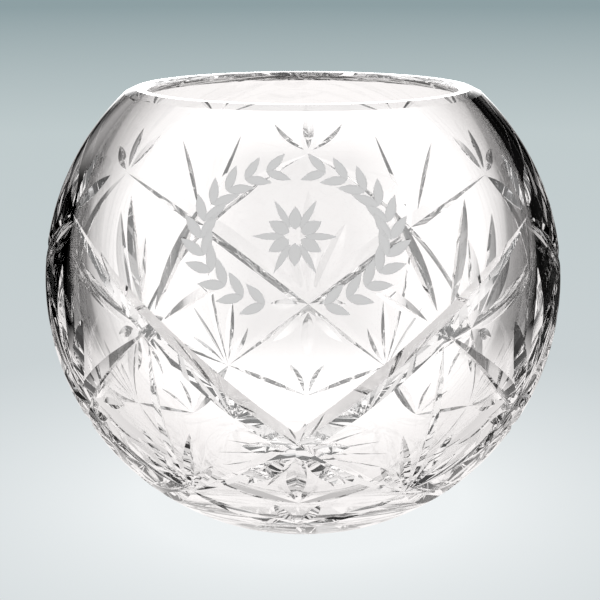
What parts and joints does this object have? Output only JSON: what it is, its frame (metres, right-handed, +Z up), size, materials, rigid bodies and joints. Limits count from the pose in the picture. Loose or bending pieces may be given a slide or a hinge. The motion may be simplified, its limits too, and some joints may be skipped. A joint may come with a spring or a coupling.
{
  "type": "rose bowl vase",
  "caption": "Round cut crystal rose bowl with a wide flat polished mouth, a flat foot, crossing V-cut grooves and leaf cuts, and a plain front panel.",
  "frame": {"origin": "centre of the flat foot, on the surface that the bowl stands on", "axes": "+Z up through the mouth, -Y towards the plain front panel, +X to the right when looking at the panel"},
  "size_m": [0.165, 0.1649, 0.1369],
  "materials": {
    "lead_crystal": "clear crystal, wheel cut and polished bright all over, with a frosted etched ornament on the front panel"
  },
  "bodies": {
    "root": {"crystal_bowl": "lead_crystal"}
  },
  "joints": []
}
